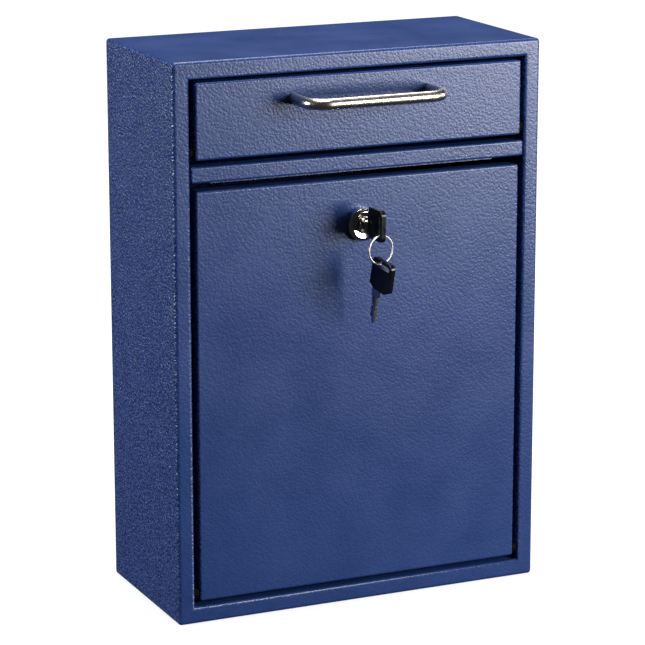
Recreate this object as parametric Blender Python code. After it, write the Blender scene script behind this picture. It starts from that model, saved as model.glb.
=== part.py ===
"""Wall mailbox: a sheet-steel cabinet with a tilt-out deposit door above a bottom-hinged, keyed lower door.

The origin is the centre of the cabinet's base. +Z is up, +Y runs to the wall and +X to the viewer's right.
Depths are measured back from the front plane, so a negative depth stands out towards the viewer.
"""

import math

import bmesh
import bpy
from mathutils import Matrix, Vector

# Cabinet
WIDTH = 0.2845
DEPTH = 0.129
HEIGHT = 0.405
SHEET = 0.0012
GAP = 0.0003  # between pieces that touch
BEND = 0.0019  # centreline radius of the cabinet's outer bends
TIGHT_BEND = 0.0012  # centreline radius where a frame flange turns back
BEND_STEPS = 5
FRAME = 0.0125  # face width of the frame round the doors
FRAME_RETURN = 0.012  # depth of the frame's turned-back edge
WALL_HOLE_RADIUS = 0.0035
WALL_HOLES = [(x, z) for x in (-0.1, 0.1) for z in (0.04, 0.365)]

# Rail between the doors, and the plate behind it that the lower door and the cam close on
RAIL_BOTTOM = 0.3202
RAIL_TOP = 0.3316
RAIL_DEPTH = 0.0117
STRIKE_HALF_WIDTH = 0.11
STRIKE_BOTTOM = 0.3172
STRIKE_DEPTH = 0.012

# Doors: pans whose edges are turned back
PAN_BEND = 0.0018
PAN_CORNER = 0.002
PAN_RETURN = 0.0115
HOPPER_HALF_WIDTH = 0.12625
HOPPER_BOTTOM = 0.3362
HOPPER_TOP = 0.3903
HOPPER_PROUD = 0.0014
DOOR_HALF_WIDTH = 0.126
DOOR_BOTTOM = 0.0165
DOOR_TOP = 0.3142

# Hinge pins
PIN_DEPTH = 0.005
PIN_RISE = 0.0051  # above a door's bottom edge
PIN_RADIUS = 0.0024
PIN_HEAD_RADIUS = 0.0034
PIN_HEAD = 0.0016
PIN_END = 0.1335  # from the centre plane to the pin's outer end
PIN_HOLE_RADIUS = 0.0026
SPACER_RADIUS = 0.0042

# Hopper: tray and side wings behind the deposit door
THIN_SHEET = 0.001
WING_INNER = 0.1209
WING_RADIUS = 0.048
WING_STOP_RADIUS = 0.056
WING_STOP_START = 24  # degrees above the horizontal, about the hinge axis
WING_STOP_END = 31.5
WING_TOP = 0.388
WING_FLANGE = 0.010
WING_FLANGE_BOTTOM = 0.364
WING_FLANGE_TOP = 0.386
TRAY_SLOPE = math.radians(25)
TRAY_LENGTH = 0.08
TRAY_LIP = 0.008
TRAY_FLANGE_TOP = 0.362
TRAY_BEND_HEIGHT = 0.344

# Pull handle
HANDLE_HALF_SPAN = 0.05225
HANDLE_HEIGHT = 0.3747
HANDLE_PROJECTION = 0.032
HANDLE_BEND = 0.014
HANDLE_RADIUS = 0.004
HANDLE_BORE_RADIUS = 0.0021
HANDLE_BORE = 0.0125
SCREW_RADIUS = 0.0019
SCREW_HEAD_RADIUS = 0.0035
SCREW_HEAD = 0.0026
WASHER_RADIUS = 0.0045
WASHER = 0.0008

# Cam lock
LOCK_HEIGHT = 0.2812
BEZEL_RADIUS = 0.0118
BEZEL_PROJECTION = 0.0068
BEZEL_CHAMFER = 0.0016
BARREL_RADIUS = 0.009
BARREL_FLAT = 0.0078  # half the width across the flats
BARREL_DEPTH = 0.0134
BARREL_CLEARANCE = 0.0003
NUT_RADIUS = 0.0135
NUT = 0.003
PLUG_RADIUS = 0.006
PLUG_BORE_RADIUS = 0.0063
PLUG_FRONT = -0.0063
PLUG_DEPTH = 0.0137
NECK_HALF = 0.0034
NECK = 0.0023
KEYWAY_HALF_WIDTH = 0.0013
KEYWAY_HALF_HEIGHT = 0.0031
KEYWAY_DEPTH = 0.0119
BITTING_PITCH = 0.0024
WAFER_DEPTHS = [-0.004 + BITTING_PITCH * i for i in range(5)]
WAFER = 0.0008
WAFER_SLOT = 0.0014
WAFER_HALF_WIDTH = 0.0029
WAFER_HALF_HEIGHT = 0.0054
CAM = 0.0018
CAM_LENGTH = 0.039
CAM_HALF_WIDTH = 0.0075
CAM_TIP_HALF_WIDTH = 0.005
CAM_DEPTH = 0.014
CAM_SCREW_RADIUS = 0.0017
CAM_SCREW_HOLE_RADIUS = 0.002
CAM_SCREW_LENGTH = 0.0034

# Keys: length runs from the head's blade end, height from the blade's centre line
KEY_BACK = -0.0142  # depth of the head's blade end when the key is in
HEAD_LENGTH = 0.0233
HEAD_LOW = -0.007
HEAD_HIGH = 0.0155
HEAD_THICKNESS = 0.0036
HEAD_CORNER = 0.0035
HEAD_SHOULDER_LENGTH = 0.003
HEAD_SHOULDER_HEIGHT = 0.005
HEAD_EDGE = 0.0008
SLOT_FROM_END = 0.0042
SLOT_HALF_WIDTH = 0.0016
SLOT_LOW = -0.0034
SLOT_HIGH = 0.0126
BLADE_LENGTH = 0.0258
BLADE_HALF_HEIGHT = 0.0026
BLADE_THICKNESS = 0.0019
BLADE_CUTS = [0.0009, 0.0014, 0.0006, 0.0012, 0.0007]
COLLAR_LENGTH = 0.0055
COLLAR_HALF_HEIGHT = 0.0038
TANG = 0.009

# Key ring and the spare key that hangs on it
RING_RADIUS = 0.0102
RING_WIRE = 0.0006
RING_IN_SLOT = 0.0012  # from the slot's end to the wire's centre
RING_BACK = 0.0002  # behind the middle of the slot's width
HANG_YAW = math.radians(12)
SPARE_TILT = math.radians(12.5)
SPARE_SLIDE = 0.0024  # how far along its slot the spare key has slid on the ring

FRONT = -DEPTH / 2
BACK = DEPTH / 2
HALF = WIDTH / 2
STILE_INNER = HALF - FRAME
HOPPER_HINGE = HOPPER_BOTTOM + PIN_RISE
DOOR_HINGE = DOOR_BOTTOM + PIN_RISE
LOCK_PLACE = Vector((0, FRONT, LOCK_HEIGHT))
ROUND_STEPS = 24


def clear_scene():
    for obj in list(bpy.data.objects):
        bpy.data.objects.remove(obj, do_unlink=True)


def make_material(name, colour, roughness, metallic):
    made = bpy.data.materials.new(name)
    made.use_nodes = True
    shader = made.node_tree.nodes["Principled BSDF"]
    shader.inputs["Base Color"].default_value = (*colour, 1)
    shader.inputs["Roughness"].default_value = roughness
    shader.inputs["Metallic"].default_value = metallic
    made.diffuse_color = (*colour, 1)
    return made


def add_object(name, bm, material, smooth=False):
    """An object from a bmesh, which is freed."""
    bmesh.ops.recalc_face_normals(bm, faces=bm.faces)
    mesh = bpy.data.meshes.new(name)
    bm.to_mesh(mesh)
    bm.free()
    if smooth:
        mesh.shade_smooth()
        mesh.set_sharp_from_angle(angle=math.radians(35))
    obj = bpy.data.objects.new(name, mesh)
    bpy.context.scene.collection.objects.link(obj)
    if material:
        mesh.materials.append(material)
    return obj


def add_empty(name, place, parent=None):
    empty = bpy.data.objects.new(name, None)
    empty.empty_display_size = 0.01
    bpy.context.scene.collection.objects.link(empty)
    empty.location = place
    attach(empty, parent)
    return empty


def attach(obj, parent):
    """Parents an object that is already placed in the world, keeping it there."""
    if parent is None:
        return
    bpy.context.view_layer.update()
    obj.parent = parent
    obj.matrix_parent_inverse = parent.matrix_world.inverted()


def boolean(obj, other, operation="DIFFERENCE", solver="EXACT"):
    """Cuts or joins another object, which stays in the scene as a hidden helper."""
    modifier = obj.modifiers.new(other.name, "BOOLEAN")
    modifier.operation = operation
    modifier.solver = solver
    modifier.object = other
    other.hide_render = True
    other.display_type = "WIRE"
    other.parent = obj
    bpy.context.view_layer.update()
    other.matrix_parent_inverse = obj.matrix_world.inverted()


def box(low, high):
    """A bmesh block between two opposite corners."""
    bm = bmesh.new()
    size = [abs(b - a) for a, b in zip(low, high)]
    middle = (Vector(high) + Vector(low)) / 2
    bmesh.ops.create_cube(bm, size=1, matrix=Matrix.Translation(middle) @ Matrix.Diagonal((*size, 1)))
    return bm


def prism(outline, axis, start, end):
    """A bmesh block with a flat outline: (x, z) along Y, (y, z) along X."""
    along = {"X": Vector((1, 0, 0)), "Y": Vector((0, 1, 0))}[axis]

    def place(a, b):
        return Vector((start, a, b)) if axis == "X" else Vector((a, start, b))

    bm = bmesh.new()
    face = bm.faces.new([bm.verts.new(place(a, b)) for a, b in outline])
    extrude(bm, [face], along * (end - start))
    return bm


def extrude(bm, faces, shift):
    grown = bmesh.ops.extrude_face_region(bm, geom=faces)["geom"]
    bmesh.ops.translate(bm, verts=[v for v in grown if isinstance(v, bmesh.types.BMVert)], vec=shift)


def rounded_path(points, radius):
    """An open path of 2-D points with each corner turned into an arc."""
    path = [points[0]]
    for before, corner, after in zip(points, points[1:], points[2:]):
        inward, outward = (before - corner).normalized(), (after - corner).normalized()
        half = inward.angle(outward) / 2
        centre = corner + (inward + outward).normalized() * (radius / math.sin(half))
        spoke = corner + inward * (radius / math.tan(half)) - centre
        turn = math.copysign(math.pi - 2 * half, -inward.x * outward.y + inward.y * outward.x)
        for i in range(BEND_STEPS + 1):
            path.append(centre + Matrix.Rotation(turn * i / BEND_STEPS, 2) @ spoke)
    return path + [points[-1]]


def sheet_sides(path, thickness):
    """The two sides of a sheet whose middle follows a path."""
    sides = [], []
    for i, point in enumerate(path):
        before = (point - path[i - 1]).normalized() if i else (path[1] - path[0]).normalized()
        after = (path[i + 1] - point).normalized() if i + 1 < len(path) else before
        normal = Vector((-(before + after).y, (before + after).x)).normalized()
        reach = thickness / 2 / normal.dot(Vector((-after.y, after.x)))
        sides[0].append(point + normal * reach)
        sides[1].append(point - normal * reach)
    return sides


def bent_sheet(points, axis, start, end, radius, thickness=SHEET):
    """A bmesh strip of bent sheet: its section is (x, y) along Z or (y, z) along X."""
    along = {"X": Vector((1, 0, 0)), "Z": Vector((0, 0, 1))}[axis]

    def place(p):
        return Vector((start, p.x, p.y)) if axis == "X" else Vector((p.x, p.y, start))

    bm = bmesh.new()
    path = rounded_path([Vector(p) for p in points], radius)
    left, right = ([bm.verts.new(place(p)) for p in side] for side in sheet_sides(path, thickness))
    faces = [
        bm.faces.new((left[i], left[i + 1], right[i + 1], right[i])) for i in range(len(path) - 1)
    ]
    extrude(bm, faces, along * (end - start))
    return bm


def turned(profile, closed=False, steps=ROUND_STEPS):
    """A bmesh solid turned about Z from (radius, height) points. A closed profile makes a ring."""
    bm = bmesh.new()
    verts = [bm.verts.new((r, 0, h)) for r, h in profile]
    edges = [bm.edges.new(pair) for pair in zip(verts, verts[1:])]
    if closed:
        edges.append(bm.edges.new((verts[-1], verts[0])))
    bmesh.ops.spin(
        bm, geom=verts + edges, cent=(0, 0, 0), axis=(0, 0, 1), angle=math.tau, steps=steps
    )
    bmesh.ops.remove_doubles(bm, verts=bm.verts, dist=1e-6)
    return bm


def rod(radius, length, steps=ROUND_STEPS):
    return turned([(0, 0), (radius, 0), (radius, length), (0, length)], steps=steps)


def bore(place, axis, radius, length, steps=ROUND_STEPS):
    """A bmesh rod in world place, centred on a point and lying along X or Y."""
    bm = rod(radius, length, steps)
    lay = Matrix.Rotation(math.pi / 2, 4, {"X": "Y", "Y": "X"}[axis])
    centre = Matrix.Translation((0, 0, -length / 2))
    bmesh.ops.transform(bm, matrix=Matrix.Translation(place) @ lay @ centre, verts=bm.verts)
    return bm


def merged(parts):
    """One bmesh from several that don't touch."""
    whole = bmesh.new()
    for part in parts:
        mesh = bpy.data.meshes.new("part")
        part.to_mesh(mesh)
        part.free()
        whole.from_mesh(mesh)
        bpy.data.meshes.remove(mesh)
    return whole


def cut(obj, name, parts, solver="EXACT"):
    boolean(obj, add_object(name, merged(parts), None), solver=solver)


def tube_along(path, radius, steps=16):
    """A bmesh bar swept along a level 3-D path, with flat ends."""
    bm = bmesh.new()
    rings = []
    for i, point in enumerate(path):
        tangent = (path[min(i + 1, len(path) - 1)] - path[max(i - 1, 0)]).normalized()
        side = tangent.cross(Vector((0, 0, 1))).normalized()
        angles = [math.tau * k / steps for k in range(steps)]
        ring = [point + radius * (math.cos(a) * side + math.sin(a) * Vector((0, 0, 1))) for a in angles]
        rings.append([bm.verts.new(p) for p in ring])
    for first, second in zip(rings, rings[1:]):
        for k in range(steps):
            bm.faces.new((first[k], first[k - 1], second[k - 1], second[k]))
    bm.faces.new(rings[0])
    bm.faces.new(rings[-1])
    return bm


def face_forward(obj, x, depth, z):
    """Turns an object's local Z to the viewer and puts its origin at a depth behind the front plane."""
    obj.rotation_euler = (math.pi / 2, 0, 0)
    obj.location = (x, FRONT + depth, z)
    return obj


def pan(name, half_width, bottom, top, front, depth, material):
    """A sheet pan, open at the back, whose front face is at the given depth."""
    bm = box((-half_width, front, bottom), (half_width, front + depth, top))
    bm.faces.ensure_lookup_table()
    back = max(bm.faces, key=lambda f: f.calc_center_median().y)
    bmesh.ops.delete(bm, geom=[back], context="FACES_ONLY")
    corners = [e for e in bm.edges if abs(e.verts[0].co.y - e.verts[1].co.y) > depth / 2]
    bmesh.ops.bevel(
        bm, geom=corners, offset=PAN_CORNER, segments=3, profile=0.5, affect="EDGES", clamp_overlap=True
    )
    rim = [e for e in bm.edges if all(abs(v.co.y - front) < 1e-6 for v in e.verts)]
    bmesh.ops.bevel(
        bm, geom=rim, offset=PAN_BEND, segments=3, profile=0.5, affect="EDGES", clamp_overlap=True
    )
    obj = add_object(name, bm, material)
    shell = obj.modifiers.new("sheet", "SOLIDIFY")
    shell.thickness = SHEET
    shell.offset = -1
    shell.use_even_offset = True
    return obj


def pin_holes(half_width, z):
    """The bores for a door's two hinge pins, through one sheet on each side."""
    return [
        bore((side * (half_width - SHEET / 2), FRONT + PIN_DEPTH, z), "X", PIN_HOLE_RADIUS, 3 * SHEET)
        for side in (-1, 1)
    ]


def arc(centre, radius, start, steps, turn):
    """Points round part of a circle. Angles are in degrees, and the turn is split into steps."""
    angles = [math.radians(start + turn * i / steps) for i in range(steps + 1)]
    return [(centre[0] + radius * math.cos(a), centre[1] + radius * math.sin(a)) for a in angles]


def double_d(radius, flat):
    """A circle with flats above and below."""
    edge = math.degrees(math.asin(flat / radius))
    return arc((0, 0), radius, -edge, 8, 2 * edge) + arc((0, 0), radius, 180 - edge, 8, 2 * edge)


def lock_opening(start, end):
    """The space round the lock's barrel, between two depths."""
    outline = double_d(BARREL_RADIUS + BARREL_CLEARANCE, BARREL_FLAT + BARREL_CLEARANCE)
    bm = prism(outline, "Y", start, end)
    bmesh.ops.translate(bm, verts=bm.verts, vec=LOCK_PLACE)
    return bm


def build_cabinet(paint):
    middle = SHEET / 2
    for side, name in ((-1, "left_side_panel"), (1, "right_side_panel")):
        section = [
            (side * (HALF - middle), BACK),
            (side * (HALF - middle), FRONT + middle),
            (side * (STILE_INNER + middle), FRONT + middle),
            (side * (STILE_INNER + middle), FRONT + FRAME_RETURN),
        ]
        bm = bent_sheet(section, "Z", SHEET + GAP, HEIGHT - SHEET - GAP, TIGHT_BEND)
        panel = add_object(name, bm, paint)
        x = side * (STILE_INNER + middle)
        heights = (HOPPER_HINGE, DOOR_HINGE)
        places = [(x, FRONT + PIN_DEPTH, z) for z in heights]
        cut(panel, f"{name}_holes", [bore(p, "X", PIN_HOLE_RADIUS, 3 * SHEET) for p in places])

    for name, edge, inward in (("bottom_panel", 0, 1), ("top_panel", HEIGHT, -1)):
        section = [
            (BACK, edge + inward * middle),
            (FRONT + middle, edge + inward * middle),
            (FRONT + middle, edge + inward * (FRAME - middle)),
            (FRONT + FRAME_RETURN, edge + inward * (FRAME - middle)),
        ]
        panel = add_object(name, bent_sheet(section, "X", -HALF, HALF, TIGHT_BEND), paint)
        notches = []
        for side in (-1, 1):
            corner = (side * (STILE_INNER - GAP), FRONT - FRAME, edge + inward * (SHEET + GAP))
            opposite = (side * 2 * HALF, FRONT + 2 * FRAME_RETURN, edge + inward * 2 * FRAME)
            notches.append(box(corner, opposite))
        cut(panel, f"{name}_notches", notches)

    inset = SHEET + GAP
    back = pan("back_panel", HALF - inset, inset, HEIGHT - inset, -BACK, FRAME_RETURN, paint)
    back.rotation_euler = (0, 0, math.pi)
    places = [(x, BACK - SHEET / 2, z) for x, z in WALL_HOLES]
    cut(back, "wall_holes", [bore(p, "Y", WALL_HOLE_RADIUS, 3 * SHEET) for p in places], "MANIFOLD")

    section = [
        (FRONT + RAIL_DEPTH, RAIL_TOP - middle),
        (FRONT + middle, RAIL_TOP - middle),
        (FRONT + middle, RAIL_BOTTOM + middle),
        (FRONT + RAIL_DEPTH, RAIL_BOTTOM + middle),
    ]
    reach = STILE_INNER - GAP
    add_object("mid_rail", bent_sheet(section, "X", -reach, reach, TIGHT_BEND), paint)
    low = (-STRIKE_HALF_WIDTH, FRONT + STRIKE_DEPTH, STRIKE_BOTTOM)
    high = (STRIKE_HALF_WIDTH, FRONT + STRIKE_DEPTH + SHEET, RAIL_TOP - SHEET)
    add_object("strike_plate", box(low, high), paint)


def add_hinge(prefix, half_width, z, pivot, steel, nylon):
    """The two pins of a door and the spacers between it and the frame."""
    head_start = half_width - SHEET - GAP - PIN_HEAD
    profile = [
        (0, 0),
        (PIN_HEAD_RADIUS, 0),
        (PIN_HEAD_RADIUS, PIN_HEAD),
        (PIN_RADIUS, PIN_HEAD),
        (PIN_RADIUS, PIN_END - head_start),
        (0, PIN_END - head_start),
    ]
    width = STILE_INNER - half_width - 2 * GAP
    ring = [(PIN_HOLE_RADIUS, 0), (SPACER_RADIUS, 0), (SPACER_RADIUS, width), (PIN_HOLE_RADIUS, width)]
    for side, word in ((-1, "left"), (1, "right")):
        pin = add_object(f"{prefix}_pin_{word}", turned(profile), steel, smooth=True)
        spacer = add_object(f"{prefix}_spacer_{word}", turned(ring, closed=True), nylon, smooth=True)
        for obj, x in ((pin, head_start), (spacer, half_width + GAP)):
            obj.rotation_euler = (0, side * math.pi / 2, 0)
            obj.location = (side * x, FRONT + PIN_DEPTH, z)
            attach(obj, pivot)


def hopper_wing(side):
    """A side plate whose rim is an arc about the hinge, with the stop that ends the hopper's travel."""
    hinge = Vector((FRONT + PIN_DEPTH, HOPPER_HINGE))

    def spoke(radius, degrees):
        angle = math.radians(degrees)
        return hinge + radius * Vector((math.cos(angle), math.sin(angle)))

    front = FRONT - HOPPER_PROUD + SHEET + 2 * GAP
    top = math.degrees(math.asin((WING_TOP - HOPPER_HINGE) / WING_RADIUS))
    rim = [spoke(WING_RADIUS, top + (WING_STOP_END - top) * i / 6) for i in range(7)]
    stop = [spoke(WING_STOP_RADIUS, WING_STOP_END), spoke(WING_STOP_RADIUS, WING_STOP_START)]
    low_angle = -math.degrees(TRAY_SLOPE) + 4
    lower = [
        spoke(WING_RADIUS, WING_STOP_START + (low_angle - WING_STOP_START) * i / 4) for i in range(5)
    ]
    outline = [Vector((front, TRAY_BEND_HEIGHT + SHEET)), Vector((front, WING_TOP))] + rim + stop + lower
    x = side * WING_INNER
    plate = prism([tuple(p) for p in outline], "X", x, x + side * THIN_SHEET)
    low = (min(x + side * THIN_SHEET, x - side * WING_FLANGE), front - GAP, WING_FLANGE_BOTTOM)
    high = (max(x + side * THIN_SHEET, x - side * WING_FLANGE), front + THIN_SHEET - GAP, WING_FLANGE_TOP)
    return plate, box(low, high)


def build_hopper(paint, brushed, steel, nylon):
    pivot = add_empty("hopper_pivot", (0, FRONT + PIN_DEPTH, HOPPER_HINGE))
    door = pan(
        "hopper_door", HOPPER_HALF_WIDTH, HOPPER_BOTTOM, HOPPER_TOP, FRONT - HOPPER_PROUD, PAN_RETURN, paint
    )
    sheet_middle = FRONT - HOPPER_PROUD + SHEET / 2
    places = [(side * HANDLE_HALF_SPAN, sheet_middle, HANDLE_HEIGHT) for side in (-1, 1)]
    screw_holes = [bore(p, "Y", HANDLE_BORE_RADIUS, 3 * SHEET) for p in places]
    cut(door, "hopper_door_holes", pin_holes(HOPPER_HALF_WIDTH, HOPPER_HINGE) + screw_holes, "MANIFOLD")
    attach(door, pivot)
    add_hinge("hopper", HOPPER_HALF_WIDTH, HOPPER_HINGE, pivot, steel, nylon)

    inner = FRONT - HOPPER_PROUD + SHEET + GAP + THIN_SHEET / 2
    run = Vector((math.cos(TRAY_SLOPE), -math.sin(TRAY_SLOPE)))
    bend = Vector((inner, TRAY_BEND_HEIGHT))
    end = bend + TRAY_LENGTH * run
    lip = end + TRAY_LIP * Vector((-run.y, run.x))
    section = [(inner, TRAY_FLANGE_TOP), tuple(bend), tuple(end), tuple(lip)]
    reach = WING_INNER - GAP
    tray = add_object(
        "hopper_tray", bent_sheet(section, "X", -reach, reach, BEND, thickness=THIN_SHEET), paint
    )
    attach(tray, pivot)
    for side, word in ((-1, "left"), (1, "right")):
        plate, flange = hopper_wing(side)
        wing = add_object(f"hopper_wing_{word}", plate, paint)
        boolean(wing, add_object(f"wing_flange_{word}", flange, None), "UNION")
        attach(wing, pivot)
    build_handle(pivot, brushed, steel)


def washer_profile(hole_radius):
    return [(hole_radius, 0), (WASHER_RADIUS, 0), (WASHER_RADIUS, WASHER), (hole_radius, WASHER)]


def screw_profile(radius, length):
    return [
        (0, 0),
        (SCREW_HEAD_RADIUS, 0),
        (SCREW_HEAD_RADIUS, SCREW_HEAD),
        (radius, SCREW_HEAD),
        (radius, SCREW_HEAD + length),
        (0, SCREW_HEAD + length),
    ]


def build_handle(pivot, brushed, steel):
    foot = FRONT - HOPPER_PROUD - GAP
    bar = FRONT - HOPPER_PROUD - HANDLE_PROJECTION
    span = HANDLE_HALF_SPAN
    corners = [Vector(c) for c in ((-span, foot), (-span, bar), (span, bar), (span, foot))]
    path = [Vector((p.x, p.y, HANDLE_HEIGHT)) for p in rounded_path(corners, HANDLE_BEND)]
    handle = add_object("pull_handle", tube_along(path, HANDLE_RADIUS), brushed, smooth=True)
    places = [(side * span, foot, HANDLE_HEIGHT) for side in (-1, 1)]
    cut(handle, "handle_bores", [bore(p, "Y", HANDLE_BORE_RADIUS, 2 * HANDLE_BORE) for p in places])
    attach(handle, pivot)

    inner = -HOPPER_PROUD + SHEET + GAP
    for side, word in ((-1, "left"), (1, "right")):
        ring = turned(washer_profile(HANDLE_BORE_RADIUS), closed=True)
        washer = add_object(f"handle_washer_{word}", ring, steel, smooth=True)
        face_forward(washer, side * span, inner + WASHER, HANDLE_HEIGHT)
        profile = screw_profile(SCREW_RADIUS, HANDLE_BORE - GAP)
        screw = add_object(f"handle_screw_{word}", turned(profile), steel, smooth=True)
        face_forward(screw, side * span, inner + WASHER + GAP + SCREW_HEAD, HANDLE_HEIGHT)
        attach(washer, pivot)
        attach(screw, pivot)


def build_door(paint, steel, nylon):
    pivot = add_empty("door_pivot", (0, FRONT + PIN_DEPTH, DOOR_HINGE))
    door = pan("lower_door", DOOR_HALF_WIDTH, DOOR_BOTTOM, DOOR_TOP, FRONT, PAN_RETURN, paint)
    lock_hole = lock_opening(-SHEET, 2 * SHEET)
    cut(door, "lower_door_holes", pin_holes(DOOR_HALF_WIDTH, DOOR_HINGE) + [lock_hole], "MANIFOLD")
    attach(door, pivot)
    add_hinge("door", DOOR_HALF_WIDTH, DOOR_HINGE, pivot, steel, nylon)
    return pivot


def build_lock(pivot, chrome, brass, steel):
    """The fixed housing on the door, and the plug, wafers and cam that turn in it."""
    edge = 0.3 * BEZEL_CHAMFER
    flange = [
        (0, GAP),
        (BEZEL_RADIUS, GAP),
        (BEZEL_RADIUS, BEZEL_PROJECTION - BEZEL_CHAMFER),
        (BEZEL_RADIUS - edge, BEZEL_PROJECTION - edge),
        (BEZEL_RADIUS - BEZEL_CHAMFER, BEZEL_PROJECTION),
        (0, BEZEL_PROJECTION),
    ]
    housing = add_object("lock_housing", turned(flange, steps=40), chrome, smooth=True)
    face_forward(housing, 0, 0, LOCK_HEIGHT)
    barrel = prism(double_d(BARREL_RADIUS, BARREL_FLAT), "Y", -2 * SHEET, BARREL_DEPTH)
    bmesh.ops.translate(barrel, verts=barrel.verts, vec=LOCK_PLACE)
    boolean(housing, add_object("lock_barrel", barrel, None), "UNION")
    cut(housing, "lock_bore", [bore(LOCK_PLACE, "Y", PLUG_BORE_RADIUS, 4 * BARREL_DEPTH)])
    attach(housing, pivot)

    nut = add_object("lock_nut", rod(NUT_RADIUS, NUT, steps=6), steel)
    face_forward(nut, 0, SHEET + GAP + NUT, LOCK_HEIGHT)
    cut(nut, "lock_nut_hole", [lock_opening(0, 3 * NUT)])
    attach(nut, pivot)

    turn = add_empty("plug_pivot", LOCK_PLACE, pivot)
    build_plug(turn, chrome, brass)
    build_cam(turn, steel)
    return turn


def lock_block(half_width, half_height, start, end):
    """A bmesh block round the lock's axis, between two depths."""
    low = LOCK_PLACE + Vector((-half_width, start, -half_height))
    return box(low, LOCK_PLACE + Vector((half_width, end, half_height)))


def build_plug(turn, chrome, brass):
    plug = add_object("lock_plug", rod(PLUG_RADIUS, PLUG_DEPTH - PLUG_FRONT), chrome, smooth=True)
    face_forward(plug, 0, PLUG_DEPTH, LOCK_HEIGHT)
    neck = lock_block(NECK_HALF, NECK_HALF, PLUG_DEPTH - SHEET, PLUG_DEPTH + NECK)
    boolean(plug, add_object("plug_neck", neck, None), "UNION")
    keyway = lock_block(KEYWAY_HALF_WIDTH, KEYWAY_HALF_HEIGHT, 2 * PLUG_FRONT, KEYWAY_DEPTH)
    cut(plug, "keyway", [keyway])
    half = WAFER_SLOT / 2
    reach = WAFER_HALF_WIDTH + GAP
    slots = [lock_block(reach, 2 * PLUG_RADIUS, depth - half, depth + half) for depth in WAFER_DEPTHS]
    place = LOCK_PLACE + Vector((0, PLUG_DEPTH + NECK, 0))
    cut(plug, "wafer_slots", slots + [bore(place, "Y", CAM_SCREW_HOLE_RADIUS, 2 * CAM_SCREW_LENGTH, 16)])
    attach(plug, turn)

    for i, depth in enumerate(WAFER_DEPTHS):
        half = WAFER / 2
        plate = lock_block(WAFER_HALF_WIDTH, WAFER_HALF_HEIGHT, depth - half, depth + half)
        wafer = add_object(f"lock_wafer_{i + 1}", plate, brass)
        window = lock_block(KEYWAY_HALF_WIDTH, KEYWAY_HALF_HEIGHT, depth - WAFER, depth + WAFER)
        cut(wafer, f"wafer_window_{i + 1}", [window])
        attach(wafer, turn)


def build_cam(turn, steel):
    root = arc((0, 0), CAM_HALF_WIDTH, 90, 10, 180)
    tip = arc((CAM_LENGTH - CAM_TIP_HALF_WIDTH, 0), CAM_TIP_HALF_WIDTH, -90, 8, 180)
    cam = add_object("lock_cam", prism(root + tip, "Y", CAM_DEPTH, CAM_DEPTH + CAM), steel)
    cam.location = LOCK_PLACE
    reach = NECK_HALF + GAP
    cut(cam, "cam_square", [lock_block(reach, reach, CAM_DEPTH - CAM, CAM_DEPTH + 2 * CAM)])
    attach(cam, turn)

    behind = PLUG_DEPTH + NECK + GAP
    washer = add_object(
        "cam_washer", turned(washer_profile(CAM_SCREW_HOLE_RADIUS), closed=True), steel, smooth=True
    )
    face_forward(washer, 0, behind + WASHER, LOCK_HEIGHT)
    attach(washer, turn)
    profile = screw_profile(CAM_SCREW_RADIUS, CAM_SCREW_LENGTH)
    screw = add_object("cam_screw", turned(profile, steps=16), steel, smooth=True)
    face_forward(screw, 0, behind + WASHER + GAP + SCREW_HEAD, LOCK_HEIGHT)
    attach(screw, turn)


def head_outline():
    """(length, height) corners of a key head, with rounded outer corners and cut-off shoulders."""
    end = HEAD_LENGTH - HEAD_CORNER
    return [
        (0, HEAD_LOW + HEAD_SHOULDER_HEIGHT),
        (HEAD_SHOULDER_LENGTH, HEAD_LOW),
        *arc((end, HEAD_LOW + HEAD_CORNER), HEAD_CORNER, -90, 4, 90),
        *arc((end, HEAD_HIGH - HEAD_CORNER), HEAD_CORNER, 0, 4, 90),
        (HEAD_SHOULDER_LENGTH, HEAD_HIGH),
        (0, HEAD_HIGH - HEAD_SHOULDER_HEIGHT),
    ]


def slot_outline():
    at = HEAD_LENGTH - SLOT_FROM_END
    low = arc((at, SLOT_LOW + SLOT_HALF_WIDTH), SLOT_HALF_WIDTH, 180, 8, 180)
    return low + arc((at, SLOT_HIGH - SLOT_HALF_WIDTH), SLOT_HALF_WIDTH, 0, 8, 180)


def blade_outline():
    """(length, height) of a blade with bitting cuts in its lower edge. It runs back from the head."""
    outline = [
        (-COLLAR_LENGTH, COLLAR_HALF_HEIGHT),
        (TANG, COLLAR_HALF_HEIGHT),
        (TANG, -COLLAR_HALF_HEIGHT),
        (-COLLAR_LENGTH, -COLLAR_HALF_HEIGHT),
        (-COLLAR_LENGTH, -BLADE_HALF_HEIGHT),
    ]
    for depth, depth_of_cut in zip(WAFER_DEPTHS, BLADE_CUTS):
        middle = KEY_BACK - depth
        outline += [
            (middle + BITTING_PITCH / 2, -BLADE_HALF_HEIGHT),
            (middle + WAFER / 2, depth_of_cut - BLADE_HALF_HEIGHT),
            (middle - WAFER / 2, depth_of_cut - BLADE_HALF_HEIGHT),
        ]
    nose = BLADE_HALF_HEIGHT / 2
    return outline + [
        (-BLADE_LENGTH, BLADE_HALF_HEIGHT - nose),
        (nose - BLADE_LENGTH, BLADE_HALF_HEIGHT),
        (-COLLAR_LENGTH, BLADE_HALF_HEIGHT),
    ]


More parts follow.
